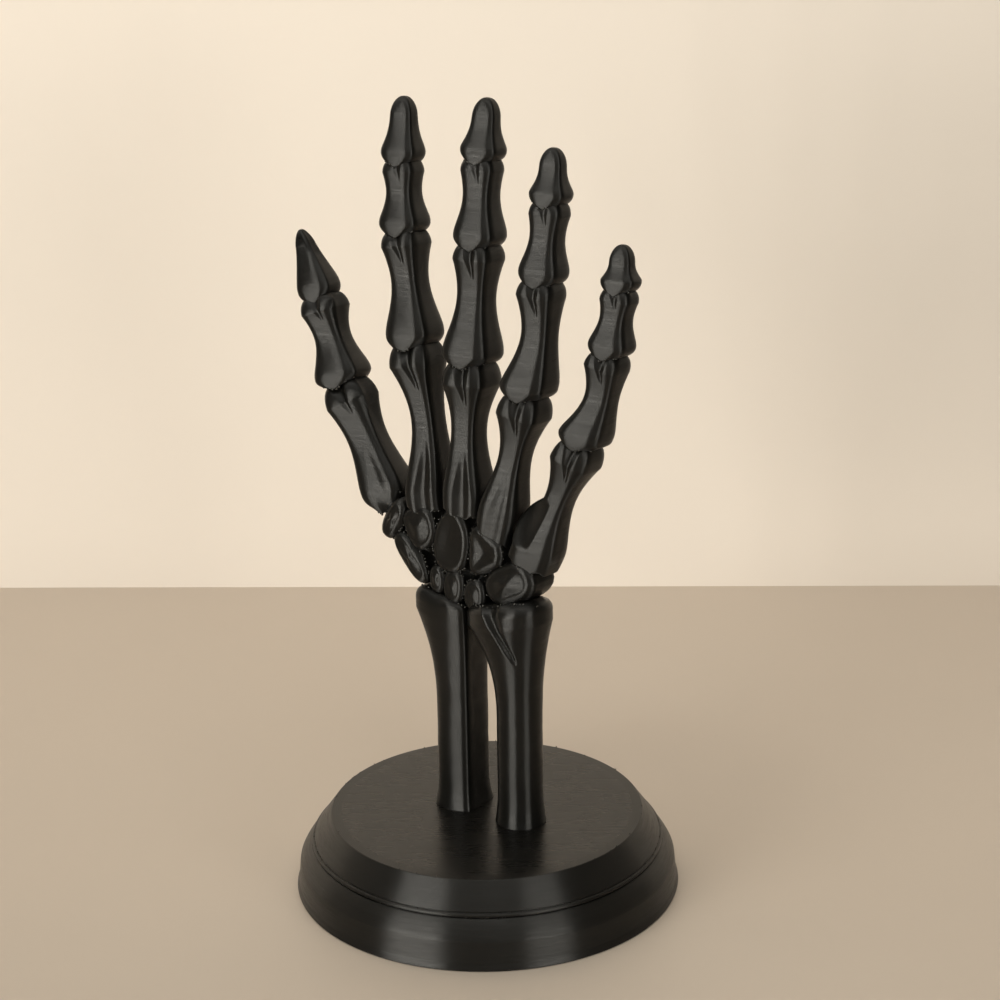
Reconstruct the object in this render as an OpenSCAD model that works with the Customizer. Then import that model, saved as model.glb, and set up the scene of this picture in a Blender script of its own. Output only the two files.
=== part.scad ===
// Skeleton hand jewelry stand: a bony left hand on a round two-tier base.
// Millimetres. The palm faces -Y, the little finger is on the +X side, +Z is up.
// The origin is the centre of the underside of the base.
// The hand plane has coordinates x (towards the little finger) and u (up, along the leaning hand).

/* [Base] */
// outer diameter of the foot ring
base_d = 89; // [84:1:120]
// height of the upright part of the wall of the foot ring
wall_h = 6.6; // [5:0.1:12]
// how far the wall leans in at its top
wall_in = 1; // [0:0.1:3]
// width and height of the sloping shoulder above the wall
shoulder = [2.9, 4.25]; // [1:0.05:5]
// how far the foot of the wall spreads out, and the height of that spread
foot_spread = [0.5, 1.8]; // [0.1:0.1:3]
// bevel round the underside
foot_bevel = 0.3; // [0.2:0.1:1]
// height of the dark seam between the two tiers
seam_h = 0.3; // [0.2:0.1:1]
// depth of that seam behind the bead
seam_d = 0.8; // [0.4:0.1:1.5]
// how far the bead lies inside the top edge of the shoulder
bead_step = 0.1; // [0:0.1:0.5]
// height of the bead above the seam
bead_h = 0.75; // [0.4:0.05:1.5]
// how far the bead stands out from the foot of the slope
bead_out = 0.4; // [0.1:0.1:1]
// height of the sloping side of the top tier
slope_h = 5.95; // [3:0.05:8]
// diameter of the flat top that the hand stands on
top_d = 72; // [66:1:78]
// diameter of the spigot that centres the top tier in the foot ring
spigot_d = 60; // [50:1:66]
// length of that spigot
spigot_h = 6; // [4.5:0.5:6.5]

/* [Forearm] */
// where the thumb-side forearm bone stands, x and y
radius_at = [-6.8, 0.3]; // [-12:0.1:12]
// width and depth of its shaft
radius_shaft = [9.6, 11.4]; // [6:0.1:13]
// width and depth of its upper end
radius_head = [15, 12.2]; // [8:0.1:17]
// where the little-finger-side forearm bone stands, x and y
ulna_at = [10.4, -1.2]; // [-12:0.1:14]
// width and depth of its shaft
ulna_shaft = [9, 9]; // [6:0.1:11]
// width and depth of its upper end
ulna_head = [18, 13.2]; // [8:0.1:19]
// height from the base top to the wrist's pivot line
forearm_h = 45; // [38:0.5:60]
// diameter of the pegs that stand in the base
foot_peg_d = 6; // [4:0.5:7]
// length of those pegs
foot_peg_h = 8; // [6:0.5:8.5]

/* [Hand] */
// backward lean of the hand above the wrist, degrees
lean = 5; // [0:0.5:12]
// depth of the wrist bones, front to back
wrist_d = 10; // [8:0.5:13]
// diameter of the pins between wrist bones
wrist_pin_d = 2; // [1.6:0.1:2.4]
// diameter of the pins under the palm bones
palm_pin_d = 2.4; // [1.8:0.1:2.6]
// length of those pins
palm_pin_h = 4.5; // [3:0.1:5]
// length of the pins between finger bones
finger_pin_h = 4; // [3:0.1:5]
// height of the widest place of a palm bone above its foot
palm_flare_h = 3; // [2:0.1:4]
// height of the widest place of a finger bone above its joint
finger_flare_h = 2.4; // [1.8:0.1:3.4]
// how far the heel of the little finger's palm bone bulges sideways
heel = 3.4; // [0:0.1:4]
// how far the front lip of a finger bone hangs over the joint
lip = 1.5; // [0.5:0.1:2]
// depth of the groove between the two knobs of a finger joint
groove = 0.8; // [0.2:0.1:1.2]
// how far the foot of a palm bone saddles its wrist bone
saddle = 1.2; // [0:0.1:2]

/* [Thumb] */
// foot of the thumb, x and u
thumb_root = [-26.6, 25]; // [-40:0.1:60]
// lengths from the palm outwards
thumb_lengths = [28.5, 20.5, 16.5]; // [8:0.5:45]
// tilts from upright towards the little finger
thumb_tilts = [-30, -21, -24]; // [-45:1:45]

/* [Index finger] */
// foot of the index finger, x and u
index_root = [-15.2, 26.2]; // [-40:0.1:60]
// lengths from the palm outwards
index_lengths = [36, 25, 15.5, 14.5]; // [8:0.5:45]
// tilts from upright towards the little finger
index_tilts = [-9, -9, -4, -1]; // [-45:1:45]

/* [Middle finger] */
// foot of the middle finger, x and u
middle_root = [-4.8, 27.3]; // [-40:0.1:60]
// lengths from the palm outwards
middle_lengths = [32.5, 26, 18.5, 13.5]; // [8:0.5:45]
// tilts from upright towards the little finger
middle_tilts = [-1, 2, 0, 3]; // [-45:1:45]

/* [Ring finger] */
// foot of the ring finger, x and u
ring_root = [3.9, 24.9]; // [-40:0.1:60]
// lengths from the palm outwards
ring_lengths = [30, 25.5, 17, 12]; // [8:0.5:45]
// tilts from upright towards the little finger
ring_tilts = [11, 6, 4, 1]; // [-45:1:45]

/* [Little finger] */
// foot of the little finger, x and u
little_root = [12.9, 17.8]; // [-40:0.1:60]
// lengths from the palm outwards
little_lengths = [30.5, 21, 14, 10]; // [8:0.5:45]
// tilts from upright towards the little finger
little_tilts = [22, 16, 7, 0]; // [-45:1:45]

/* [Clearances] */
// glue line between two bones of a joint
joint_gap = 0.35; // [0.3:0.05:0.8]
// radial clearance round a glued pin
pin_clear = 0.05; // [0.02:0.01:0.1]
// radial clearance round a foot peg, which lifts out
peg_clear = 0.08; // [0.03:0.01:0.1]
// free depth below the end of any pin or peg
end_gap = 0.4; // [0.2:0.1:1]
// gap under the feet of the hand
seat_gap = 0.1; // [0.05:0.05:0.3]

/* [Hidden] */
print_black = [0.09, 0.09, 0.09];
bone_black = [0.11, 0.11, 0.11];
base_r = base_d / 2;
tier_z = wall_h + shoulder[1];
tier_r = base_r - wall_in - shoulder.x;
spigot_z = tier_z - spigot_h;
bead_z = tier_z + seam_h;
slope_z = bead_z + bead_h;
base_h = slope_z + slope_h;
top_r = top_d / 2;
bead_r = tier_r - bead_step;
wrist_z = base_h + forearm_h;
// facets round a bone, and how square its section is
sides = 24;
square = 4.6;
// how full the shoulder is: 1 is a straight bevel, 2 an ellipse
shoulder_fill = 1.2;

// Each finger: foot, lengths, tilts, share of the full bone breadth.
thumb = [thumb_root, thumb_lengths, thumb_tilts, 1];
index = [index_root, index_lengths, index_tilts, 0.97];
middle = [middle_root, middle_lengths, middle_tilts, 1];
ring = [ring_root, ring_lengths, ring_tilts, 0.95];
little = [little_root, little_lengths, little_tilts, 0.89];

// Bone sizes before that share: end at the palm, waist, far end, each as width and depth.
metacarpal_size = [[9.6, 11.2], [5.6, 7], [10.4, 12.4]];
proximal_size = [[11.2, 12], [6.5, 7.3], [9, 10.8]];
middle_size = [[9.8, 10.2], [6.3, 7], [8, 8.2]];
distal_size = [[8.8, 8.4], [6.4, 6], [6, 5.2]];
thumb_distal_size = [[8.4, 9.2], [5.8, 6.4], [3.8, 4.4]];
thumb_metacarpal_size = [[10.8, 11.2], [7.4, 8], [10.4, 11.4]];

// Wrist bones: place x and u, width and height, tilt, egg shape, triangle shape.
scaphoid_shape = [[-17.7, 13.6], [4.8, 13], -41, 0, 0];
lunate_shape = [[-5.6, 9], [5, 6.8], 0, 0.05, 0];
triquetrum_shape = [[0.2, 8.2], [5, 6.4], 0, -0.05, 0];
pisiform_shape = [[9.2, 12.5], [13, 8.4], -26, 0, 0];
small_shape = [[-10.2, 10], [3.4, 5.4], -6, 0, 0];
trapezium_shape = [[-23, 21.6], [4.6, 9.4], 26, 0, 0];
trapezoid_shape = [[-15.4, 21], [7.8, 9], -24, 0.16, 0.04];
capitate_shape = [[-6.7, 19.7], [9, 14.4], 4, -0.08, 0];
hamate_shape = [[2.1, 18.6], [8, 9.6], 0, 0, 0.22];

// A signed power, for sections between an ellipse and a rectangle.
function root_of(v, n) = sign(v) * pow(abs(v), 2 / n);

// One ring of points round a bone at height z.
// drop hangs the front and back down, hang does so with the two sides,
// dent sinks the middle of the front, slope and back tilt the ring's plane.
function bone_ring(half, z, cx = 0, drop = 0, hang = 0, dent = 0, slope = 0, back = 0) =
    [for (i = [0 : sides - 1])
        let (c = cos(360 * i / sides), s = sin(360 * i / sides),
            x = half.x * root_of(c, square), y = half.y * root_of(s, square))
        [cx + x, y + (s < -0.99 ? dent : 0),
            z - drop * pow(abs(s), 1.5) - hang * c * c + slope * x - back * y]];

// Breadth between two swollen ends, for t from 0 to 1.
function swell(t, low, waist, high) =
    waist + (low - waist) * pow(max(0, 1 - t / 0.6), 2.4)
        + (high - waist) * pow(max(0, (t - 0.5) / 0.5), 2.4);

// A solid through equal rings, with its two flat ends closed.
module loft(rings) {
    n = len(rings[0]);
    m = len(rings);
    walls = [for (j = [0 : m - 2], i = [0 : n - 1], k = [0, 1])
        let (a = j * n + i, b = j * n + (i + 1) % n)
        k == 0 ? [a, a + n, b + n] : [a, b + n, b]];
    polyhedron(
        points = [for (r = rings) each r],
        faces = concat([[for (i = [0 : n - 1]) i]], walls,
            [[for (i = [n - 1 : -1 : 0]) (m - 1) * n + i]]),
        convexity = 6);
}

// The rings of a cupped lower end, with a lip front and back.
function cup_rings(half, seat, round_h) = [
    bone_ring([half.x * 0.5, half.y * 0.46], seat),
    bone_ring([half.x * 0.7, half.y * 0.93], seat, drop = lip),
    bone_ring([half.x * 0.9, half.y * 0.98], seat + 0.4 * round_h, drop = 0.6 * lip)];

// The rings of a lower end that saddles a wrist bone.
function saddle_rings(half, seat, round_h, hang) = [
    bone_ring([half.x * 0.45, half.y * 0.6], seat),
    bone_ring(half * 0.85, seat, hang = hang),
    bone_ring(half * 0.96, seat + 0.4 * round_h, hang = 0.6 * hang)];

// The rings of the shaft, between the widest places of its two ends.
// bow bends the shaft sideways, bulge widens its lower part on the -x side.
function shaft_rings(size, low_z, high_z, dent, bow, bulge) =
    [for (t = [0, 0.1, 0.22, 0.36, 0.52, 0.68, 0.82, 0.92, 1])
        let (out = bulge * max(0, 1 - abs(t - 0.12) / 0.3))
        bone_ring([swell(t, size[0].x, size[1].x, size[2].x) + out,
                swell(t, size[0].y, size[1].y, size[2].y)] / 2,
            low_z + t * (high_z - low_z),
            cx = bow * sin(180 * t) - out / 2,
            drop = 0.3 * lip * pow(1 - t, 8),
            dent = dent * max(0, (t - 0.6) / 0.4))];

// The rings of a rounded far end with two knobs.
function head_rings(half, length, dent) = [
    bone_ring([half.x * 0.94, half.y * 0.88], length - 0.38 * half.y, dent = dent),
    bone_ring([half.x * 0.8, half.y * 0.67], length - 0.15 * half.y, dent = 0.7 * dent),
    bone_ring([half.x * 0.62, half.y * 0.46], length)];

// The rings of a fingertip.
function tip_rings(half, length, round_h) =
    [for (a = [25, 45, 62, 76, 86])
        bone_ring(half * cos(a), length - round_h * (1 - sin(a)))];

// Sizes of bone k of a finger; the last one is the fingertip.
function bone_size(f, k) =
    let (last = k == len(f[1]) - 1, thumb_like = len(f[1]) == 3)
    f[3] * (k == 0 ? (thumb_like ? thumb_metacarpal_size : metacarpal_size)
        : last ? (thumb_like ? thumb_distal_size : distal_size)
        : k == 1 ? proximal_size : middle_size);

// Where bone k of a finger starts, x and u.
function joint_at(f, k) =
    k == 0 ? f[0] : joint_at(f, k - 1) + f[1][k - 1] * [sin(f[2][k - 1]), cos(f[2][k - 1])];

// Height of the seat of bone k above its joint: more where the finger bends.
function seat_of(f, k) =
    joint_gap + (k == 0 ? 0 : 0.3 * bone_size(f, k)[0].x * abs(sin(f[2][k] - f[2][k - 1])));

// Pin radius and length below bone k.
function pin_r(f, k) = k == 0 ? palm_pin_d / 2 : 0.3 * bone_size(f, k)[0].y / 2;
function pin_h(f, k) = k == 0 ? palm_pin_h : finger_pin_h;

// The leaning hand, and one bone's place in it.
module in_hand() {
    translate([0, 0, wrist_z]) rotate([-lean, 0, 0]) children();
}

module in_finger(f, k) {
    at = joint_at(f, k);
    translate([at.x, 0, at[1]]) rotate([0, f[2][k], 0]) children();
}

// The bare bone k of a finger, standing on its lower joint.
module bare_bone(f, k, bow, bulge) {
    length = f[1][k];
    size = bone_size(f, k);
    low = k == 0 ? palm_flare_h : finger_flare_h;
    high = (k == 0 ? 0.8 : 0.55) * size[2].y / 2;
    seat = seat_of(f, k);
    start = k > 0 ? cup_rings(size[0] / 2, seat, low)
        : saddle_rings(size[0] / 2, seat, low, len(f[1]) == 3 ? 0 : saddle);
    if (k == len(f[1]) - 1) {
        round_h = 1.1 * size[2].x;
        loft(concat(start, shaft_rings(size, low, length - round_h, 0, bow, bulge),
            tip_rings(size[2] / 2, length, round_h)));
    } else {
        dent = k == 2 ? 0.4 * groove : groove;
        loft(concat(start, shaft_rings(size, low, length - high, dent, bow, bulge),
            head_rings(size[2] / 2, length, dent)));
    }
}

// A whole finger bone: its pin below, and the bore for the next bone's pin above.
module finger_bone(f, k, bow = 0, bulge = 0) {
    color(bone_black) in_hand() difference() {
        in_finger(f, k) union() {
            bare_bone(f, k, bow, bulge);
            translate([0, 0, -pin_h(f, k)])
                cylinder(r = pin_r(f, k), h = pin_h(f, k) + seat_of(f, k) + 1, $fn = 48);
        }
        if (k < len(f[1]) - 1) pin_bore(f, k + 1);
    }
}

module pin_bore(f, k) {
    in_finger(f, k) translate([0, 0, -pin_h(f, k) - end_gap])
        cylinder(r = pin_r(f, k) + pin_clear, h = pin_h(f, k) + end_gap + 1, $fn = 48);
}

// A straight pin in the hand plane between two points, x and u.
module wrist_pin(from, to, extra_r = 0, extra_h = 0) {
    run = to - from;
    translate([from.x, 0, from[1]]) rotate([0, atan2(run.x, run[1]), 0])
        cylinder(r = wrist_pin_d / 2 + extra_r, h = norm(run) + extra_h, $fn = 48);
}

module wrist_bore(from, to) {
    wrist_pin(from, to, pin_clear, end_gap);
}

// The outline of a wrist bone at scale k, at depth y.
function pebble_ring(shape, k, y) =
    [for (i = [0 : 19])
        let (c = cos(18 * i), s = sin(18 * i), r = k * (1 + shape[4] * cos(54 * i)),
            x = shape[1].x / 2 * r * root_of(c, 2.5) * (1 + shape[3] * s),
            u = shape[1].y / 2 * r * root_of(s, 2.5))
        [x, y, u]];

// A wrist bone: a pebble with flat bevelled faces front and back.
module pebble(shape) {
    bevel = min(shape[1]) * 0.28;
    half = wrist_d / 2;
    in_shape(shape) loft([
        pebble_ring(shape, 0.68, half),
        pebble_ring(shape, 0.9, half - 0.35 * bevel),
        pebble_ring(shape, 1, half - bevel),
        pebble_ring(shape, 1, bevel - half),
        pebble_ring(shape, 0.9, 0.35 * bevel - half),
        pebble_ring(shape, 0.68, -half)]);
}

module in_shape(shape) {
    translate([shape[0].x, 0, shape[0][1]]) rotate([0, shape[2], 0]) children();
}

// Pins of the wrist: from and to, x and u.
scaphoid_pin = [[-15.8, 12.2], [-13, 4]];
lunate_pin = [[-5.7, 8], [-6, 2]];
triquetrum_pin = [[0.8, 8], [2.6, 0.6]];
pisiform_pin = [[9.2, 12], [9.8, 3]];
small_pin = [[-10.3, 10], [-10, 3]];
trapezium_pin = [[-22.4, 21], [-19.4, 16.2]];
trapezoid_pin = [[-15.8, 20], [-17, 14.4]];
capitate_pin = [[-6.6, 15], [-5.6, 9.6]];
hamate_pin = [[1.8, 16], [0.8, 9.4]];

// A forearm bone on its foot peg. shift moves its head sideways,
// head_u is the height of the middle of its head in the hand, slope tilts that end.
module forearm_bone(at, shaft, head, shift, head_u, slope, dent) {
    height = forearm_h + head_u - seat_gap;
    translate([at.x, at.y, base_h + seat_gap]) union() {
        loft([for (t = [0, 0.015, 0.05, 0.14, 0.4, 0.58, 0.68, 0.77, 0.85, 0.92, 0.97, 1])
            let (up = pow(max(0, (t - 0.5) / 0.42), 2.4), open = min(1, up),
                foot = 1 + 0.24 * pow(max(0, 1 - t / 0.14), 2),
                end = t < 0.93 ? 1 : t < 0.98 ? 0.97 : 0.86)
            bone_ring((shaft * foot + (head - shaft) * open) * end / 2, t * height,
                cx = shift * open, dent = dent * open,
                slope = slope * open, back = tan(lean) * open)]);
        translate([0, 0, -foot_peg_h - seat_gap])
            cylinder(d = foot_peg_d, h = foot_peg_h + seat_gap + 2, $fn = 64);
    }
}

module foot_socket(at) {
    depth = foot_peg_h + end_gap;
    translate([at.x, at.y, base_h - depth])
        cylinder(d = foot_peg_d + 2 * peg_clear, h = depth + 1, $fn = 64);
}

// The lower tier: a thick ring with a recess for the spigot.
module base_foot() {
    arc = [for (a = [0 : 15 : 90])
        [tier_r + shoulder.x * root_of(cos(a), shoulder_fill),
            wall_h + shoulder[1] * root_of(sin(a), shoulder_fill)]];
    recess_r = spigot_d / 2 + pin_clear;
    recess_z = spigot_z - end_gap;
    color(print_black) rotate_extrude($fn = 128)
        polygon(concat([[0, 0], [base_r - foot_bevel, 0], [base_r, foot_bevel],
            [base_r - foot_spread.x, foot_spread[1]]], arc,
            [[recess_r, tier_z], [recess_r, recess_z], [0, recess_z]]));
}

// The upper tier: spigot, seam, bead, slope and flat top with the two sockets.
module base_top() {
    color(print_black) difference() {
        rotate_extrude($fn = 128) polygon([
            [0, spigot_z], [spigot_d / 2, spigot_z], [spigot_d / 2, tier_z],
            [bead_r - seam_d, tier_z], [bead_r - seam_d, bead_z],
            [bead_r, bead_z], [bead_r, slope_z], [bead_r - bead_out, slope_z],
            [top_r, base_h], [0, base_h]]);
        foot_socket(radius_at);
        foot_socket(ulna_at);
    }
}

module radius_bone() {
    color(bone_black) difference() {
        forearm_bone(radius_at, radius_shaft, radius_head, -2.6, 6.4, -0.24, 0);
        in_hand() {
            wrist_bore(scaphoid_pin[0], scaphoid_pin[1]);
            wrist_bore(small_pin[0], small_pin[1]);
            wrist_bore(lunate_pin[0], lunate_pin[1]);
        }
    }
}

module ulna_bone() {
    color(bone_black) difference() {
        forearm_bone(ulna_at, ulna_shaft, ulna_head, -2.3, 7.4, 0.34, 1.2);
        in_hand() {
            wrist_bore(triquetrum_pin[0], triquetrum_pin[1]);
            wrist_bore(pisiform_pin[0], pisiform_pin[1]);
        }
    }
}

module scaphoid() {
    color(bone_black) in_hand() difference() {
        union() {
            pebble(scaphoid_shape);
            wrist_pin(scaphoid_pin[0], scaphoid_pin[1]);
        }
        wrist_bore(trapezium_pin[0], trapezium_pin[1]);
        wrist_bore(trapezoid_pin[0], trapezoid_pin[1]);
    }
}

module lunate() {
    color(bone_black) in_hand() difference() {
        union() {
            pebble(lunate_shape);
            wrist_pin(lunate_pin[0], lunate_pin[1]);
        }
        wrist_bore(capitate_pin[0], capitate_pin[1]);
    }
}

module triquetrum() {
    color(bone_black) in_hand() difference() {
        union() {
            pebble(triquetrum_shape);
            wrist_pin(triquetrum_pin[0], triquetrum_pin[1]);
        }
        wrist_bore(hamate_pin[0], hamate_pin[1]);
    }
}

module pisiform() {
    color(bone_black) in_hand() difference() {
        union() {
            pebble(pisiform_shape);
            wrist_pin(pisiform_pin[0], pisiform_pin[1]);
        }
        pin_bore(little, 0);
    }
}

module small_wrist_bone() {
    color(bone_black) in_hand() union() {
        pebble(small_shape);
        wrist_pin(small_pin[0], small_pin[1]);
    }
}

module trapezium() {
    color(bone_black) in_hand() difference() {
        union() {
            pebble(trapezium_shape);
            wrist_pin(trapezium_pin[0], trapezium_pin[1]);
        }
        pin_bore(thumb, 0);
    }
}

module trapezoid() {
    color(bone_black) in_hand() difference() {
        union() {
            pebble(trapezoid_shape);
            wrist_pin(trapezoid_pin[0], trapezoid_pin[1]);
        }
        pin_bore(index, 0);
    }
}

module capitate() {
    color(bone_black) in_hand() difference() {
        union() {
            pebble(capitate_shape);
            wrist_pin(capitate_pin[0], capitate_pin[1]);
        }
        pin_bore(middle, 0);
    }
}

module hamate() {
    color(bone_black) in_hand() difference() {
        union() {
            pebble(hamate_shape);
            wrist_pin(hamate_pin[0], hamate_pin[1]);
        }
        pin_bore(ring, 0);
    }
}

module thumb_metacarpal() { finger_bone(thumb, 0); }
module thumb_proximal() { finger_bone(thumb, 1); }
module thumb_distal() { finger_bone(thumb, 2); }
module index_metacarpal() { finger_bone(index, 0, bow = 1.3); }
module index_proximal() { finger_bone(index, 1); }
module index_middle() { finger_bone(index, 2); }
module index_distal() { finger_bone(index, 3); }
module middle_metacarpal() { finger_bone(middle, 0, bow = -0.6); }
module middle_proximal() { finger_bone(middle, 1); }
module middle_middle() { finger_bone(middle, 2); }
module middle_distal() { finger_bone(middle, 3); }
module ring_metacarpal() { finger_bone(ring, 0); }
module ring_proximal() { finger_bone(ring, 1, bow = 1); }
module ring_middle() { finger_bone(ring, 2); }
module ring_distal() { finger_bone(ring, 3); }
module little_metacarpal() { finger_bone(little, 0, bulge = heel); }
module little_proximal() { finger_bone(little, 1, bow = 1); }
module little_middle() { finger_bone(little, 2); }
module little_distal() { finger_bone(little, 3); }

base_foot();
base_top();
radius_bone();
ulna_bone();
scaphoid();
lunate();
triquetrum();
pisiform();
small_wrist_bone();
trapezium();
trapezoid();
capitate();
hamate();
thumb_metacarpal();
thumb_proximal();
thumb_distal();
index_metacarpal();
index_proximal();
index_middle();
index_distal();
middle_metacarpal();
middle_proximal();
middle_middle();
middle_distal();
ring_metacarpal();
ring_proximal();
ring_middle();
ring_distal();
little_metacarpal();
little_proximal();
little_middle();
little_distal();
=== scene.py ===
# %% [markdown]
# # A printed skeleton hand that holds jewelry
#
# The real stand is black printed plastic: a round base of two tiers, and a bony left hand that stands in the base
# on the feet of its two forearm bones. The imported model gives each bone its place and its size. This lesson
# measures those solids, grows a finer shape over each of them with Geometry Nodes, and gives the shapes the look of
# plastic that was laid down in thin level layers.

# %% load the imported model
import math

import bpy
import numpy as np
from mathutils import Matrix, Vector
from mathutils.geometry import convex_hull_2d


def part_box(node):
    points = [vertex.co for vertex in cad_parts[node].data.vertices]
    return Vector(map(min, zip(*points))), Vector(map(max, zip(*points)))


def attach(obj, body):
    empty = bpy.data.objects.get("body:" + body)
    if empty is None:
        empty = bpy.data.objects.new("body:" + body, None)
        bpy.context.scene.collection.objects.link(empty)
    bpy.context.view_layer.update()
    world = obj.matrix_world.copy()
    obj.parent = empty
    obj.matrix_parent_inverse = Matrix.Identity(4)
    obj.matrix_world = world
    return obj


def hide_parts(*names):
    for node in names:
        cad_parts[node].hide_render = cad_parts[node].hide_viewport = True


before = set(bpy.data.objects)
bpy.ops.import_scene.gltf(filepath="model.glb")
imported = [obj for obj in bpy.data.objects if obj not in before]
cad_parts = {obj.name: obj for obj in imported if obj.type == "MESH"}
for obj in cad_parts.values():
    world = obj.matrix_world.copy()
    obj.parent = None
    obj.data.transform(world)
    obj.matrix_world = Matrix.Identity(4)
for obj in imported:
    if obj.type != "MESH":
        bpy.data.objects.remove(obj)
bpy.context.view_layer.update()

MM = 0.001


def new_object(name, data):
    """An object in the scene that shows the given data."""
    made = bpy.data.objects.new(name, data)
    bpy.context.scene.collection.objects.link(made)
    return made


# %% [markdown]
# ## Seeing the stand as the photograph does
#
# The photograph was taken from the front right, a little from above, with a long lens. The ovals of the base rings
# give the pitch and the lens, and the level lines of the base give the small roll. The view is written in a frame
# that is turned with it, and then turned back into the frame of the model. A fixed camera keeps every later
# comparison fair.

# %% camera
PHOTO_SIDE = 1000       # pixels, both ways
FOCAL = 2300            # pixels
SENSOR = 36.0           # mm
VIEW_TURN = math.radians(35)
VIEW_PITCH = math.radians(18.75)
VIEW_ROLL = math.radians(-0.84)
CAMERA_SPOT = Vector((4.1, -482.7, 256.65)) * MM

turned = Matrix.Rotation(VIEW_TURN, 3, "Z")
sin_p, cos_p = math.sin(VIEW_PITCH), math.cos(VIEW_PITCH)
sin_r, cos_r = math.sin(VIEW_ROLL), math.cos(VIEW_ROLL)
view_right = turned @ Vector((cos_r, sin_r * sin_p, sin_r * cos_p))
view_up = turned @ Vector((-sin_r, cos_r * sin_p, cos_r * cos_p))
view_ahead = turned @ Vector((0, cos_p, -sin_p))
camera_at = turned @ CAMERA_SPOT

lens = bpy.data.cameras.new("camera")
lens.lens = SENSOR * FOCAL / PHOTO_SIDE
lens.sensor_width = SENSOR
camera = new_object("camera", lens)
aim = Matrix((view_right, view_up, -view_ahead)).transposed().to_4x4()
camera.matrix_world = Matrix.Translation(camera_at) @ aim
bpy.context.scene.camera = camera
print("lens in mm", round(lens.lens, 1), "camera at", [round(v, 3) for v in camera_at])

# %% [markdown]
# ## Sums on sockets
#
# Both the shapes and the finishes need many small sums. A wire is a socket that can be added, multiplied and so on
# like a number, and each sum puts one Math node in its tree. Every other node comes from one method, which sets the
# node up first and then fills or links its sockets. The same two classes serve the shape trees and the material
# trees.

# %% wires and trees
def sum_of(operation, turned=False):
    """A method of a wire that puts one Math node in its tree, with the wire first, or last if turned."""
    def method(self, *others):
        values = (*others, self) if turned else (self, *others)
        return self.tree.node("ShaderNodeMath", {"operation": operation}, dict(enumerate(values)))
    return method


class Wire:
    """A socket of a node tree that can be used in sums."""

    def __init__(self, tree, socket):
        self.tree = tree
        self.socket = socket

    __add__ = __radd__ = sum_of("ADD")
    __sub__, __rsub__ = sum_of("SUBTRACT"), sum_of("SUBTRACT", True)
    __mul__ = __rmul__ = sum_of("MULTIPLY")
    __truediv__, __rtruediv__ = sum_of("DIVIDE"), sum_of("DIVIDE", True)
    __pow__, __abs__ = sum_of("POWER"), sum_of("ABSOLUTE")
    most, over, below = sum_of("MAXIMUM"), sum_of("GREATER_THAN"), sum_of("LESS_THAN")
    sine, cosine, nearest = sum_of("SINE"), sum_of("COSINE"), sum_of("ROUND")

    def ramp(self, low, high, soft=False):
        """0 below low and 1 above high, with a straight or a soft rise between."""
        way = {"interpolation_type": "SMOOTHSTEP" if soft else "LINEAR", "clamp": True}
        return self.tree.node("ShaderNodeMapRange", way, {"Value": self, "From Min": low, "From Max": high})

    def stages(self, ends):
        """Splits the way from 0 to 1 at the given ends, and says how far each stage has come."""
        return [self.ramp(low, high) for low, high in zip((0.0, *ends), (*ends, 1.0))]

    def past(self, edge):
        """How far the value is past 0, with a bend of the given size instead of a corner."""
        return (self + (self * self + edge * edge) ** 0.5) * 0.5

    def valley(self, blunt):
        """1 at 0, falling in straight lines to 0 at about -1 and 1. blunt rounds its point."""
        return (1.05 - (self * self + blunt) ** 0.5).most(0.0)

    def parts(self):
        """The three numbers of a vector."""
        return [self.tree.node("ShaderNodeSeparateXYZ", {}, {0: self}, out) for out in range(3)]


class Tree:
    """A node tree that is filled from Python."""

    def __init__(self, nodes):
        self.nodes = nodes

    def node(self, kind, settings, sockets, out=0):
        made = self.nodes.nodes.new(kind)
        for name, value in settings.items():
            setattr(made, name, value)
        for name, value in sockets.items():
            if isinstance(value, Wire):
                self.nodes.links.new(value.socket, made.inputs[name])
            else:
                made.inputs[name].default_value = value
        return Wire(self, made.outputs[out]) if len(made.outputs) else None

    def vector(self, x, y, z):
        return self.node("ShaderNodeCombineXYZ", {}, {0: x, 1: y, 2: z})

    def noise(self, spot, scale, detail, seed):
        """Noise around 0, from about -0.5 to 0.5."""
        return self.node("ShaderNodeTexNoise", {"noise_dimensions": "4D"},
                         {"Vector": spot, "W": seed, "Scale": scale, "Detail": detail}) - 0.5

    def blend(self, share, first, second):
        """A colour between two colours."""
        return self.node("ShaderNodeMix", {"data_type": "RGBA"}, {0: share, 6: (*first, 1), 7: (*second, 1)}, 2)

    def bump(self, height):
        return self.node("ShaderNodeBump", {}, {"Strength": 1.0, "Distance": 1.0, "Height": height})


print("sums ready")

# %% [markdown]
# ## Plastic laid in layers
#
# The stand was printed from the table up, in level layers of about 0.2 mm. Each layer is a tiny rounded bead, so an
# upright wall smears every highlight up and down but stays fairly sharp from side to side. That could be real
# grooves, but they would need millions of faces, so the beads are a bump on the height, and the shader's own
# stretch of the highlight does the rest. Long flat noise makes some layers a little prouder or duller than others,
# as on any print.

# %% finish of the upright walls
LAYER = 0.2 * MM
BEAD = 0.004 * MM             # height of the bead of one layer
STREAK_RELIEF, BAND_RELIEF, BROAD_RELIEF = 0.022 * MM, 0.016 * MM, 0.006 * MM
STREAK_DULL, NICK_DULL, BAND_DULL, BROAD_DULL = 0.22, 0.22, 0.18, 0.04     # what each noise does to the roughness
SMOOTHEST = 0.12              # no spot has a lower roughness than this
BLACK = (0.0035, 0.0034, 0.003)


def bare_tree(owner):
    """The emptied node tree of a material or a world."""
    owner.use_nodes = True
    owner.node_tree.nodes.clear()
    return Tree(owner.node_tree)


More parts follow.
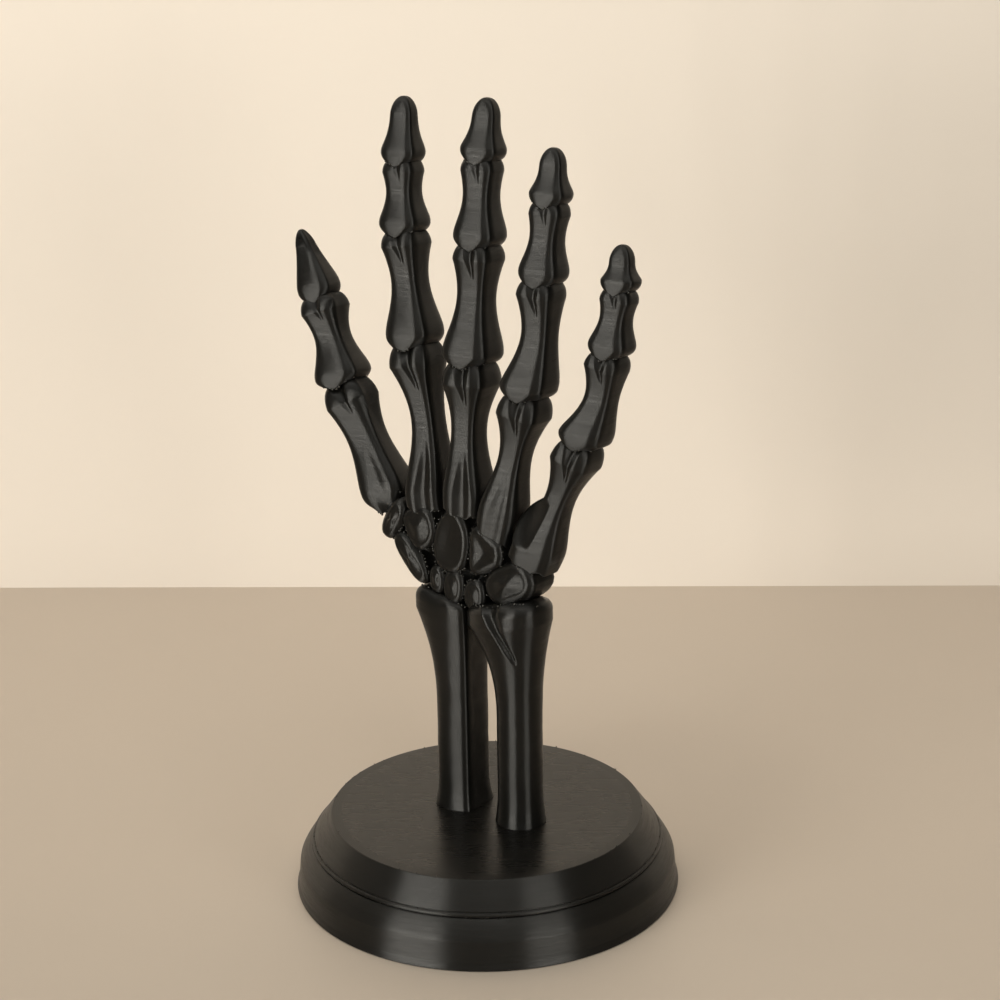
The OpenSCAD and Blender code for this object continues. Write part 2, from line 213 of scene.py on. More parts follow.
def new_finish(name):
    """A bare material, its tree, and the place of each spot on the surface."""
    material = bpy.data.materials.new(name)
    tree = bare_tree(material)
    return material, tree, tree.node("ShaderNodeTexCoord", {}, {}, "Object")


def close_finish(material, tree, shader):
    tree.node("ShaderNodeOutputMaterial", {}, {"Surface": shader})
    return material


def times(tint, factor):
    return [factor * v for v in tint]


def layered_print(name, tint, gloss, shine, seed):
    """Black plastic in level layers. gloss is the roughness, and shine how strongly the skin reflects."""
    material, tree, spot = new_finish(name)

    def level_noise(around, up, detail, shift=0.0):
        """Long level streaks. around and up say how often they change in a metre."""
        spread = tree.node("ShaderNodeMapping", {}, {"Vector": spot, "Scale": (around, around, up)})
        return tree.noise(spread, 1.0, detail, seed + shift)

    beads = (spot.parts()[2] * (2 * math.pi / LAYER)).sine() * BEAD
    streak, nick = level_noise(90, 2600, 3.0), level_noise(420, 5200, 1.0)
    band = level_noise(60, 1100, 2.0, 2.0)
    broad = tree.noise(spot, 140.0, 2.0, seed + 1)
    proud = beads + streak * STREAK_RELIEF + band * BAND_RELIEF + broad * BROAD_RELIEF
    rough = gloss + streak * STREAK_DULL + nick * NICK_DULL + band * BAND_DULL + broad * BROAD_DULL
    colour = tree.blend((broad + streak).ramp(-0.35, 0.6), tint, times(tint, 1.7))
    return close_finish(material, tree, tree.node("ShaderNodeBsdfPrincipled", {}, {
        "Base Color": colour, "Roughness": rough.most(SMOOTHEST), "Normal": tree.bump(proud), "IOR": shine,
        "Anisotropic": 1.0, "Anisotropic Rotation": 0.25}))


bone_finish = layered_print("bone print", BLACK, 0.37, 1.41, 3.0)
wall_finish = layered_print("base wall print", BLACK, 0.39, 1.47, 8.0)
print("finishes:", bone_finish.name, "and", wall_finish.name)

# %% [markdown]
# ## Plastic laid in straight passes
#
# The flat top of the base shows the nozzle's straight passes, side by side, and two or three rings along the rim
# where the outline was drawn first. A bump on the sideways coordinate gives the passes, one on the distance from
# the middle gives the rings, and a soft step between them switches over close to the rim. The passes run level in
# the photograph, so they follow the direction of the view.

# %% finish of the flat top
PASS = 0.42 * MM
PASS_DEPTH = 0.006 * MM
LANE_RELIEF, MOTTLE_RELIEF = 0.008 * MM, 0.012 * MM
LANE_DULL, MOTTLE_DULL, RIM_DULL = 0.1, 0.08, 0.04
RING_BAND = 2.2 * MM
RING_BLEND = 0.2 * MM         # half of the strip in which passes turn into rings
DECK_SHINE = 1.39


def passes_print(name, tint, gloss, rim_r):
    """Black plastic in straight passes inside rim_r, and in rings outside it."""
    material, tree, spot = new_finish(name)
    x, y, _ = spot.parts()
    across = y * math.cos(VIEW_TURN) - x * math.sin(VIEW_TURN)
    along = x * math.cos(VIEW_TURN) + y * math.sin(VIEW_TURN)
    from_middle = (x * x + y * y) ** 0.5
    on_rim = from_middle.ramp(rim_r - RING_BLEND, rim_r + RING_BLEND)
    lines, rings = ((place * (2 * math.pi / PASS)).sine() for place in (across, from_middle))
    lane = tree.noise(tree.vector(along * 25, across * 1500, 0), 1.0, 2.0, 5.0)
    mottle = tree.noise(spot, 160.0, 2.0, 6.0)
    proud = (lines * (1 - on_rim) + rings * on_rim) * PASS_DEPTH + lane * LANE_RELIEF + mottle * MOTTLE_RELIEF
    rough = (gloss + lane * LANE_DULL + mottle * MOTTLE_DULL + on_rim * RIM_DULL).most(SMOOTHEST)
    colour = tree.blend((lane + mottle).ramp(-0.4, 0.6), tint, times(tint, 1.8))
    return close_finish(material, tree, tree.node("ShaderNodeBsdfPrincipled", {}, {
        "Base Color": colour, "Roughness": rough, "Normal": tree.bump(proud), "IOR": DECK_SHINE}))


print("finish of the flat top follows passes of", round(PASS / MM, 2), "mm")

# %% [markdown]
# ## Measuring the solids
#
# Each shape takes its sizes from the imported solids, so that it sits exactly where they are. A solid is a cloud of
# corner points with edges between them. Cutting the edges with a plane gives the outline there, and so its width,
# depth and middle. Every finger bone also has a round pin underneath, and the flat end of that pin gives the bone's
# direction.

# %% measuring tools
PIN_SLICE = 1.0 * MM     # the flat end of a pin is looked for this close to the end of its bone


def rows_of(items, name, width, kind):
    """What the points or the edges of a mesh hold under a name, one row each."""
    flat = np.empty(width * len(items), kind)
    items.foreach_get(name, flat)
    return flat.reshape(-1, width)


def solid_points(node):
    """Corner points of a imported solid."""
    return rows_of(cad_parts[node].data.vertices, "co", 3, np.float32).astype(float)


def solid_edges(node):
    return rows_of(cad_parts[node].data.edges, "vertices", 2, np.int32)


def cut(points, edges, axis, level):
    """Where the edges of a solid cross the plane on which the given axis has the given level."""
    start, end = points[edges[:, 0]], points[edges[:, 1]]
    crossing = (start[:, axis] - level) * (end[:, axis] - level) < 0
    start, end = start[crossing], end[crossing]
    share = (level - start[:, axis]) / (end[:, axis] - start[:, axis])
    return start + (end - start) * share[:, None]


def span(outline):
    """Middle and half size of an outline in x and y."""
    low, high = outline[:, :2].min(axis=0), outline[:, :2].max(axis=0)
    return (low + high) / 2, (high - low) / 2


def pin_of(node):
    """Middle of the flat end of the pin under a finger bone, and the pin's direction."""
    points = np.unique(solid_points(node).round(7), axis=0)
    along = np.linalg.svd(points - points.mean(axis=0), full_matrices=False)[2][0]
    along = along * np.sign(along[2])
    heights = points @ along
    end = points[heights < heights.min() + PIN_SLICE]
    middle = end.mean(axis=0)
    normal = np.linalg.svd(end - middle)[2][2]
    return middle, normal * np.sign(normal[2])


FINGERS = ("thumb", "index", "middle", "ring", "little")
finger_bones = [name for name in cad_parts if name.split("_")[0] in FINGERS]
pins = {name: pin_of(name) for name in finger_bones}
palm_back = np.linalg.svd(np.array([way for _, way in pins.values()]))[2][2]
palm_back = palm_back * np.sign(palm_back[1])
palm_up = np.cross((1.0, 0.0, 0.0), palm_back)
lean = math.degrees(math.atan2(palm_up[1], palm_up[2]))
print(len(finger_bones), "finger bones, the hand leans back", round(lean, 2), "degrees")

# %% [markdown]
# ## Growing a shape from a grid
#
# A bone is a closed skin, so each shape tree starts from a flat grid, rolls it up into a tube and closes its ends.
# One grid direction goes round the bone and the other one climbs it. The tree is run on a small holder, the result
# is kept as a plain mesh, and the modifier is taken off. The mesh is then moved to its place in the model.

# %% tools for shape trees
SEAM_MERGE = 0.0004 * MM      # points nearer than this are one point
CORNER_PULL = 0.13            # draws the points of a ring towards the corners of its section
FRONT_SHARE = 0.6             # points that reach this share of the depth count as front
QUARTER = math.pi / 2


class ShapeTree(Tree):
    """A Geometry Nodes tree with named inputs."""

    def __init__(self, name):
        super().__init__(bpy.data.node_groups.new(name, "GeometryNodeTree"))
        self.entry = self.nodes.nodes.new("NodeGroupInput")
        self.holder = self.ask("Start", None)

    def ask(self, name, value):
        """Adds a named input and gives its wire."""
        kinds = {int: "NodeSocketInt", float: "NodeSocketFloat"}
        kind = kinds.get(type(value), "NodeSocketGeometry")
        item = self.nodes.interface.new_socket(name=name, in_out="INPUT", socket_type=kind)
        if value is not None:
            item.default_value = value
        return Wire(self, self.entry.outputs[name])

    def asks(self, value, *names):
        """Adds several named inputs that start with the same value."""
        return [self.ask(name, value) for name in names]

    def place(self):
        return self.node("GeometryNodeInputPosition", {}, {})

    def grid(self, around, along):
        """A flat grid, and how far each point is round the shape and along it, from 0 to 1."""
        around, self.along = self.ask("Around", around), self.ask("Along", along)
        mesh = self.node("GeometryNodeMeshGrid", {}, {
            "Size X": 1.0, "Size Y": 1.0, "Vertices X": around + 1, "Vertices Y": self.along})
        x, y, _ = self.place().parts()
        return mesh, x + 0.5, y + 0.5

    def way_round(self, u):
        """Cosine and sine of the way round a bone, from its back, with more points at the corners."""
        turn = u * (2 * math.pi) + QUARTER
        turn = turn + (turn * 4).sine() * CORNER_PULL
        return turn.cosine(), turn.sine()

    def move(self, mesh, x, y, z):
        return self.node("GeometryNodeSetPosition", {}, {"Geometry": mesh, "Position": self.vector(x, y, z)})

    def merge(self, mesh):
        return self.node("GeometryNodeMergeByDistance", {}, {"Geometry": mesh, "Distance": SEAM_MERGE})

    def smooth(self, mesh):
        return self.node("GeometryNodeSetShadeSmooth", {}, {0: mesh})

    def realize(self, mesh):
        return self.node("GeometryNodeRealizeInstances", {}, {0: mesh})

    def paint(self, mesh, material, **where):
        return self.node("GeometryNodeSetMaterial", {}, {"Geometry": mesh, "Material": material, **where})

    def close(self, mesh, material):
        """Closes seams and ends, smooths the shading and names the material."""
        self.hand_out(self.paint(self.realize(self.smooth(self.merge(mesh))), material))

    def hand_out(self, mesh):
        self.nodes.interface.new_socket(name="Shape", in_out="OUTPUT", socket_type="NodeSocketGeometry")
        leave = self.nodes.nodes.new("NodeGroupOutput")
        self.nodes.links.new(mesh.socket, leave.inputs["Shape"])


def squarish(c, s, half_x, half_y, power):
    """How far a squarish section reaches. A power of 2 gives an oval, and a high power nearly a box."""
    return ((abs(c) / half_x) ** power + (abs(s) / half_y) ** power) ** (-1 / power)


def on_front(s):
    """1 on the front of a bone, 0 on its sides and its back."""
    return (s * -1).ramp(0.2, 0.75, True)


def front_corner(side, s):
    """1 near the front corner on the side where the given wire is high, 0 elsewhere."""
    return side.ramp(0.05, 0.5) * (s * -1).ramp(0.05, 0.5)


def grow(name, tree, sizes, lines=()):
    """Runs a shape tree with the given sizes, on closed or open lines of points where the tree needs them."""
    start = bpy.data.meshes.new(name + " start")
    spots, edges = [], []
    for points, closed in lines:
        first, count = len(spots), len(points)
        edges += [(first + i, first + (i + 1) % count) for i in range(count if closed else count - 1)]
        spots += [tuple(p) for p in points]
    start.from_pydata(spots, edges, [])
    piece = new_object(name, start)
    modifier = piece.modifiers.new("shape", "NODES")
    modifier.node_group = tree.nodes
    for item in tree.nodes.interface.items_tree:
        if item.in_out == "INPUT" and item.name in sizes:
            number = int if item.socket_type == "NodeSocketInt" else float
            modifier[item.identifier] = number(sizes[item.name])
    ready = piece.evaluated_get(bpy.context.evaluated_depsgraph_get())
    mesh = bpy.data.meshes.new_from_object(ready)
    piece.modifiers.clear()
    piece.data = mesh
    bpy.data.meshes.remove(start)
    return piece


def settle(piece, node, body, place=None):
    """Puts a piece in its place, hangs it on the empty of its body and hides the solid that it stands for."""
    if place is not None:
        piece.data.transform(place)
    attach(piece, body)
    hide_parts(node)
    return len(piece.data.polygons)


def place_of(middle, x_way, y_way, z_way):
    """The move from a shape's own frame into the model."""
    turn = Matrix((Vector(x_way), Vector(y_way), Vector(z_way))).transposed().to_4x4()
    return Matrix.Translation(Vector(middle)) @ turn


def front_edge(piece, place, upper, step=0.4 * MM):
    """Points along the upper or the lower edge of the front of a grown shape, in the model."""
    points, line = rows_of(piece.data.vertices, "co", 3, np.float32), []
    for x in np.arange(points[:, 0].min() + step, points[:, 0].max() - step, step):
        near = points[abs(points[:, 0] - x) < step]
        near = near[near[:, 1] < FRONT_SHARE * near[:, 1].min()]
        line.append(place @ Vector(near[np.argmax(near[:, 2] if upper else -near[:, 2])]))
    return line


crumb_lines = []     # where the printer left crumbs on the hand
print("shape tools ready")

# %% [markdown]
# ## The rule of a finger bone
#
# Every finger bone follows one rule. It stands on a lip that hangs over the knuckle below like a shallow V, flares
# to its widest just above, narrows to a waist and ends in a head of two knobs with a groove between them. The
# shapes are carved in planes: a flat front, a flat side, and between them on the side of the little finger a narrow
# bevel that opens towards both ends. A slanted cut takes off the lip's corner on that side. It could be sculpted by
# hand nineteen times, but one tree with named sizes gives all of them, and a fingertip is the same rule with a head
# that closes.

# %% tree of the finger bones
BEVEL_X, BEVEL_Y = math.sin(VIEW_TURN), -math.cos(VIEW_TURN)     # the way that the bevel faces
BEVEL_EDGE = 0.26 * MM
SLANT = (0.62, -0.48, -0.62)     # the way that the slanted cut at the lip faces: right, front and down
SLANT_EDGE = 0.14 * MM
BONE_STAGES = (0.06, 0.2, 0.74, 0.94)     # where on the grid the floor, the flare, the run and the rounding end
SQUARE, SQUARE_LEFT = 4.8, 0.6     # how square the section is, and how much less so at the front left
EASE = 0.03                        # how softly a bone starts to narrow above its base
LIP_ROUND, LIP_WIDE = 2.2, 0.62    # how fast a lip opens, and the share of the base that its V takes
SCALLOP_WAVES = 8.5
GROOVE_LEAST, GROOVE_WIDE, GROOVE_SHIFT = 0.02, 0.4, 0.26     # shares of the head's half width
HEEL_IN, HEEL_ACROSS, HEEL_END = 6, 7, 0.55     # how the heel's recess goes in, across and up
SWELLS = 190.0                     # uneven places in a metre


def finger_bone_tree(material):
    tree = ShapeTree("finger bone")
    lip, notch, base_z, head_z, top = tree.asks(0.0, "Lip", "Notch", "Base height", "Head height", "Top")
    base_x, waist_x, head_x = tree.asks(0.0, "Base half width", "Waist half width", "Head half width")
    base_y, waist_y, head_y = tree.asks(0.0, "Base half depth", "Waist half depth", "Head half depth")
    floor_x, floor_y = tree.ask("Floor across", 0.7), tree.ask("Floor through", 0.94)
    pinch_x, pinch_y = tree.asks(0.6, "Pinch across", "Pinch through")
    flare_power, flare_reach = tree.ask("Flare power", 2.4), tree.ask("Flare reach", 0.62)
    head_start, head_power = tree.ask("Head start", 0.42), tree.ask("Head power", 2.4)
    facing, pivot = tree.ask("Front turn", 0.17), tree.ask("Front pivot", 0.0)
    bow, heel, foot_drop, scallop = tree.asks(0.0, "Bow", "Heel", "Foot drop", "Scallop")
    slant, slant_rise, groove, groove_h = tree.asks(0.0, "Slant", "Slant rise", "Groove depth", "Groove height")
    bevel, bevel_more = tree.ask("Bevel", 0.045), tree.ask("Bevel at the ends", 0.24)
    flute, flute_x, flute_w = *tree.asks(0.0, "Flute depth", "Flute place"), tree.ask("Flute width", 1.0)
    uneven, seed = tree.asks(0.0, "Uneven", "Seed")

    mesh, u, v = tree.grid(152, 120)
    c, s = tree.way_round(u)
    floor_in, flare, run, rounding, shut = v.stages(BONE_STAGES)
    rounding, roof_in = rounding * QUARTER, 1 - shut
    front = on_front(s)

    # the section: a squarish one that is wide at both ends and narrow at the waist
    eased = (run * run + EASE) ** 0.5 - EASE ** 0.5
    near_base = (1 - eased / flare_reach).most(0.0) ** flare_power
    near_head = ((run - head_start) / (1 - head_start)).most(0.0) ** head_power
    half_x = waist_x + (base_x - waist_x) * near_base + (head_x - waist_x) * near_head
    half_y = waist_y + (base_y - waist_y) * near_base + (head_y - waist_y) * near_head
    power = SQUARE - front_corner(c * -1, s) * SQUARE_LEFT
    reach = squarish(c, s, half_x, half_y, power)
    x, y = reach * c, reach * s

    # the bevel, and the turn of the front
    corner = half_x * BEVEL_X - half_y * BEVEL_Y
    thin = waist_x * BEVEL_X - waist_y * BEVEL_Y
    cut_at = corner * (1 - bevel) - (corner - thin) * bevel_more
    taken = (x * BEVEL_X + y * BEVEL_Y - cut_at).past(BEVEL_EDGE)
    x, y = x - taken * BEVEL_X, y - taken * BEVEL_Y
    y = y + (x + half_x * pivot) * facing * front

    # the lip below and the round end above, where a tapering tip goes on tapering
    opened = 1 - (1 - flare) ** LIP_ROUND
    steep = head_power / (1 - head_start) * (top - head_z) / (head_z - base_z)
    ends = []
    for floor, pinch, waist, head in ((floor_x, pinch_x, waist_x, head_x), (floor_y, pinch_y, waist_y, head_y)):
        taper = ((waist - head) / head * steep).most(0.0)
        closing = (pinch + rounding.cosine() * (1 - pinch)) * (1 - taper * rounding.sine()) * floor_in * roof_in
        ends.append((floor + opened * (1 - floor)) * closing)
    x, y = x * ends[0], y * ends[1]
    v_lip = (1 - abs(x) / (base_x * LIP_WIDE)).most(0.0)
    foot = notch - (notch - lip) * v_lip * floor_in * floor_in - foot_drop * (x + base_x)
    foot = foot + scallop * (x * (SCALLOP_WAVES / base_x)).cosine() * floor_in
    z = foot + (base_z - foot) * flare + (head_z - base_z) * run + (top - head_z) * rounding.sine()
    taken = (x * SLANT[0] + (y + base_y) * SLANT[1] + (z - lip - slant_rise) * SLANT[2]).past(SLANT_EDGE) * slant
    x, y, z = x - taken * SLANT[0], y - taken * SLANT[1], z - taken * SLANT[2]

    # the groove of the head, the flute that runs up from the wrist, the heel's recess and a little unevenness
    climb = z.ramp(top - groove_h, top)
    groove_mid = head_x * (GROOVE_LEAST + GROOVE_SHIFT * (1 - climb))
    groove_half = head_x * (GROOVE_LEAST + GROOVE_WIDE * climb)
    grooved = ((x - groove_mid) / groove_half).valley(0.04) * climb ** 0.7
    fluted = ((x - flute_x) / (flute_w * (1.2 - run.ramp(0.0, 0.5)))).valley(0.06)
    fluted = fluted * (1 - run.ramp(0.05, 0.5, True))
    low_side = (c * -1).ramp(0.0, 0.6, True) * (run * (1 - run / HEEL_END)).most(0.0)
    y = y + (groove * grooved + flute * fluted + heel * low_side * HEEL_IN) * front * floor_in * roof_in
    swell = tree.noise(tree.vector(x, y, z), SWELLS, 1.0, seed) * uneven * floor_in * roof_in
    x = x + bow * (run * math.pi).sine() - heel * low_side * HEEL_ACROSS + swell * c
    tree.close(tree.move(mesh, x, y + swell * s, z), material)
    return tree


bone_tree = finger_bone_tree(bone_finish)
print("finger bone tree:", len(bone_tree.nodes.nodes), "nodes")

# %% [markdown]
# ## The nineteen finger bones
#
# Each bone is measured in its own frame, which stands on the end of its pin: the lip is its lowest point beside the
# pin, and the widest places near both ends and the waist between them come from cuts. The groove of the head and
# the flute that runs up from the wrist are only hinted at in the solids, so their sizes are written here.

# %% measure and grow the finger bones
LIP_DROP = 1.2 * MM     # how far the middle of a lip hangs below its corners
CUTS = 60               # level cuts through a bone
CUT_LOW, CUT_HIGH = 0.3 * MM, 0.2 * MM     # how far from the lip and the top the first and the last one are
PIN_END, BESIDE_PIN = 0.2 * MM, 1.3     # where a pin's radius is measured, and how many radii clear it
SLIM = 0.97             # the corners here are fuller than those of the solids, so the bones are a little slimmer
SEAT_IN = 0.8 * MM      # how far a head goes into the bone above, so that no gap shows
ROOT_DROP = 2.5 * MM    # how far the root of the thumb goes down beside the wrist
GROOVES = {"metacarpal": 0.16, "proximal": 0.12, "middle": 0.06}     # depth as a share of the head's width
PALM_FLUTES = {"thumb": 0.3, "index": 0.8, "middle": 0.8, "ring": 0.4, "little": 0.0}     # mm
PALM_DROPS = {"thumb": 0.0, "index": 0.14, "middle": 0.16, "ring": 0.46, "little": 0.0}     # slope of the foot


def measure_finger_bone(node):
    """The sizes of a finger bone, and its place in the model."""
    middle, up = pins[node]
    side = np.cross(palm_back, up)
    points = (solid_points(node) - middle) @ np.column_stack([side, palm_back, up])
    edges = solid_edges(node)
    reach = np.hypot(points[:, 0], points[:, 1])
    pin_r = reach[points[:, 2] < PIN_END].max()
    lip, top = points[reach > BESIDE_PIN * pin_r, 2].min(), points[:, 2].max()
    levels = np.linspace(lip + CUT_LOW, top - CUT_HIGH, CUTS)
    middles, halves = zip(*(span(cut(points, edges, 2, z)) for z in levels))
    middles, halves = np.array(middles), np.array(halves)
    base = int(np.argmax(halves[:CUTS * 2 // 5, 0]))
    if node.endswith("distal"):
        head = int(np.searchsorted(levels, top - 1.5 * halves[CUTS * 2 // 3, 0]))
        waist = (base + head) // 2 + 4
    else:
        upper = CUTS * 7 // 10
        head = upper + int(np.argmax(halves[upper:, 0]))
        waist = base + int(np.argmin(halves[base:head + 1, 0]))
    sizes = {"Lip": lip, "Notch": lip + LIP_DROP, "Base height": levels[base], "Head height": levels[head],
             "Top": top, "Bow": middles[waist, 0]}
    for name, level in (("Base", base), ("Waist", waist), ("Head", head)):
        sizes[name + " half width"], sizes[name + " half depth"] = SLIM * halves[level]
    return sizes, place_of(middle, side, palm_back, up)


def finger_bone(node, number):
    sizes, place = measure_finger_bone(node)
    width, length = 2 * sizes["Head half width"], sizes["Top"] - sizes["Lip"]
    finger, kind = node.split("_")
    sizes.update({"Slant": 1.0, "Slant rise": -0.2 * MM, "Uneven": 0.06 * MM, "Seed": number})
    if kind == "distal":
        sizes.update({"Pinch across": 0.1, "Pinch through": 0.1, "Flare power": 2.4, "Flare reach": 0.8,
                      "Head start": 0.1, "Head power": 1.2})
    else:
        sizes.update({"Pinch across": 0.55, "Pinch through": 0.55, "Groove depth": GROOVES[kind] * width,
                      "Groove height": 0.3 * length, "Top": sizes["Top"] + SEAT_IN})
    if kind == "metacarpal":
        root = sizes["Lip"] - (ROOT_DROP if finger == "thumb" else 0.0)
        sizes.update({"Floor across": 0.97, "Floor through": 0.97, "Flute depth": PALM_FLUTES[finger] * MM,
                      "Flute place": 0.1 * width, "Flute width": 0.2 * width, "Foot drop": PALM_DROPS[finger],
                      "Scallop": 0.35 * MM, "Slant": 0.0, "Notch": root + 0.3 * MM, "Lip": root - 0.5 * MM})
    if finger == "thumb":
        sizes.update({"Front turn": 0.23, "Front pivot": 0.8})
    if node == "thumb_metacarpal":
        sizes.update({"Floor across": 0.5, "Floor through": 0.7})
    if node == "thumb_distal":
        sizes.update({"Waist half width": 1.16 * sizes["Waist half width"], "Flare power": 1.5})
    if node == "little_metacarpal":
        sizes.update({"Heel": 2.6 * MM, "Bow": 0.0})
    piece = grow("skin." + node, bone_tree, sizes)
    crumb_lines.append((front_edge(piece, place, False), False))
    return settle(piece, node, "hand", place)


faces = [finger_bone(node, number) for number, node in enumerate(finger_bones)]
print(len(faces), "finger bones,", sum(faces), "faces")

# %% [markdown]
# ## The nine wrist bones
#
# The wrist is a pavement of flat pebbles that nearly touch. Each has a flat or slightly dished front, a narrow
# rounded rim and a straight side. A plane just in front of the middle of the hand cuts each solid, clear of its
# pins, and gives the outline. The tree follows that outline round and climbs from the middle of the front, over the
# rim, to the back. Just behind the rim the pebbles grow into each other, because a print fuses there into a lumpy
# web and no light comes through. How far each point of an outline may grow is worked out from the outline of the
# whole wrist, and it travels to the tree as the depth coordinate of the guide line, which the flat outline doesn't
# need.

# %% tree of the wrist bones
PEBBLE_STAGES = (0.4, 0.62, 0.76, 0.88)     # where on the grid the face, the rim, the side and the rear rim end
WEB_START, WEB_FULL = 0.08, 0.4        # where on the side the web begins, and where it is full
LUMPS, LUMPY = 900.0, 0.9              # lumps in a metre, and their height as a share of the growth


def pebble_tree(material):
    tree = ShapeTree("wrist bone")
    front_y, back_y, dish, uneven, seed = tree.asks(0.0, "Front", "Back", "Dish", "Uneven", "Seed")
    rim = tree.ask("Rim", 1.0)
    mesh, u, v = tree.grid(112, 64)
    line = tree.node("GeometryNodeMeshToCurve", {}, {"Mesh": tree.holder})
    line = tree.node("GeometryNodeCurveSplineType", {"spline_type": "CATMULL_ROM"}, {"Curve": line})
    edge = tree.node("GeometryNodeSampleCurve", {"mode": "FACTOR"}, {"Curves": line, "Factor": u}, "Position")
    edge_x, fuse, edge_z = edge.parts()
    far = (edge_x * edge_x + edge_z * edge_z) ** 0.5

    face, over_rim, side, over_back, shut = v.stages(PEBBLE_STAGES)
    over_rim, over_back, back_in = over_rim * QUARTER, over_back * QUARTER, 1 - shut
    web = side.ramp(WEB_START, WEB_FULL)
    out = (far - rim) * face + rim * over_rim.sine() - rim * (1 - over_back.cosine())
    out = (out + fuse * web * over_back.cosine()) * back_in
    depth = (front_y + rim * (1 - over_rim.cosine())) * (1 - side) + (back_y - rim) * side + rim * over_back.sine()
    hollow = dish * (1 - face * face) * (1 - face * face)
    x, z = edge_x / far * out, edge_z / far * out
    spot = tree.vector(x, depth, z)
    swell = tree.noise(spot, SWELLS, 1.0, seed) * uneven
    lumps = tree.noise(spot, LUMPS, 2.0, seed) * web * (1 - side.ramp(0.5, 0.8)) * (fuse * LUMPY)
    tree.close(tree.move(mesh, x, depth + hollow + swell + lumps, z), material)
    return tree


wrist_tree = pebble_tree(bone_finish)
print("wrist bone tree:", len(wrist_tree.nodes.nodes), "nodes")

# %% measure and grow the wrist bones
CUT_AHEAD = 2.0 * MM
GROWN = 0.5 * MM        # how much wider a pebble is than its solid
WEB = 1.7 * MM          # how far a pebble may grow into its neighbours
WEB_CLEAR, WEB_FADE, WEB_LEAST = 0.6 * MM, 1.5 * MM, 0.1     # how the growth fades towards the edge of the wrist
PALM_ROOT = 6 * MM      # how far above its pin a palm bone counts as part of the wrist
EDGE_STEPS = 24
wrist_relief = {     # rim and dish in mm, and how pointed the upper end is
    "scaphoid": (1.9, -0.35, 0.0),
    "lunate": (1.4, -0.25, 0.0),
    "triquetrum": (1.3, -0.25, 0.0),
    "pisiform": (2.2, -0.9, 0.0),
    "small_wrist_bone": (1.2, -0.3, 0.0),
    "trapezium": (1.9, -0.3, 0.0),
    "trapezoid": (1.4, -0.55, 0.0),
    "capitate": (1.6, 0.15, 0.45),
    "hamate": (1.8, 0.3, 0.0),
}


def outline_of(points, edges, depth):
    """The outline of a solid at a depth, as points in clockwise order, and its middle."""
    ring = np.unique(cut(points, edges, 1, depth).round(6), axis=0)
    middle = (ring.min(axis=0) + ring.max(axis=0)) / 2
    away = ring - middle
    order = np.argsort(-np.arctan2(away[:, 2], away[:, 0]))
    return away[order], middle


def hull_of(spots):
    """The corners of the tightest band round flat points."""
    return convex_hull_2d([Vector(p) for p in spots])


def even_ring(ring, count=96):
    """The outline without its hollows, with points at even angles, clockwise."""
    hull = ring[hull_of(ring[:, [0, 2]])]
    sides = zip(hull, np.roll(hull, -1, axis=0))
    ring = np.concatenate([np.linspace(a, b, EDGE_STEPS, endpoint=False) for a, b in sides])
    angles = np.arctan2(ring[:, 2], ring[:, 0])
    order = np.argsort(angles)
    wanted = -np.linspace(0, 2 * math.pi, count, endpoint=False)
    far = np.interp(wanted, angles[order], np.hypot(ring[order, 0], ring[order, 2]), period=2 * math.pi)
    return np.column_stack([far * np.cos(wanted), 0 * far, far * np.sin(wanted)])


hand_axes = np.column_stack([(1.0, 0.0, 0.0), palm_back, palm_up])
wrist_rings = {}
for node, (_, _, pointed) in wrist_relief.items():
    points = solid_points(node) @ hand_axes
    low, high = points[:, 1].min(), points[:, 1].max()
    ring, middle = outline_of(points, solid_edges(node), (low + high) / 2 - CUT_AHEAD)
    ring = even_ring(ring)
    ring[:, 0] *= 1 - pointed * np.clip(ring[:, 2] / abs(ring[:, 2]).max(), 0, 1) ** 2
    ring += ring / np.linalg.norm(ring, axis=1)[:, None] * GROWN
    wrist_rings[node] = [middle, ring, low - middle[1], high - middle[1]]

palm_roots = [hand_axes.T @ (pins[finger + "_metacarpal"][0] + PALM_ROOT * palm_up) for finger in FINGERS[1:]]
wrist_spots = np.concatenate([*(middle + ring for middle, ring, _, _ in wrist_rings.values()), palm_roots])[:, [0, 2]]
wrist_hull = wrist_spots[hull_of(wrist_spots)]
hull_way = np.roll(wrist_hull, -1, axis=0) - wrist_hull
hull_way /= np.linalg.norm(hull_way, axis=1)[:, None]
for middle, ring, _, _ in wrist_rings.values():
    ahead = (middle + ring * (1 + WEB / np.linalg.norm(ring, axis=1)[:, None]))[:, None, [0, 2]] - wrist_hull
    inside = abs(hull_way[:, 0] * ahead[:, :, 1] - hull_way[:, 1] * ahead[:, :, 0]).min(axis=1)
    ring[:, 1] = WEB * np.clip((inside - WEB_CLEAR) / WEB_FADE, WEB_LEAST, 1)
print("outlines of", len(wrist_rings), "wrist bones, grown by", GROWN / MM, "mm")


def wrist_bone(node, number):
    middle, ring, low, high = wrist_rings[node]
    rim, dish, _ = wrist_relief[node]
    sizes = {"Front": low, "Back": high, "Rim": rim * MM, "Dish": dish * MM,
             "Uneven": 0.08 * MM, "Seed": 40 + number}
    piece = grow("skin." + node, wrist_tree, sizes, [(ring, True)])
    place = place_of(hand_axes @ middle, (1.0, 0.0, 0.0), palm_back, palm_up)
    inner = [place @ Vector((x, low + 0.6 * rim * MM, z)) for x, web, z in ring if web > 0.5 * WEB]
    crumb_lines.append((inner, False))
    return settle(piece, node, "hand", place)


faces = [wrist_bone(node, number) for number, node in enumerate(wrist_relief)]
print(len(faces), "wrist bones,", sum(faces), "faces")

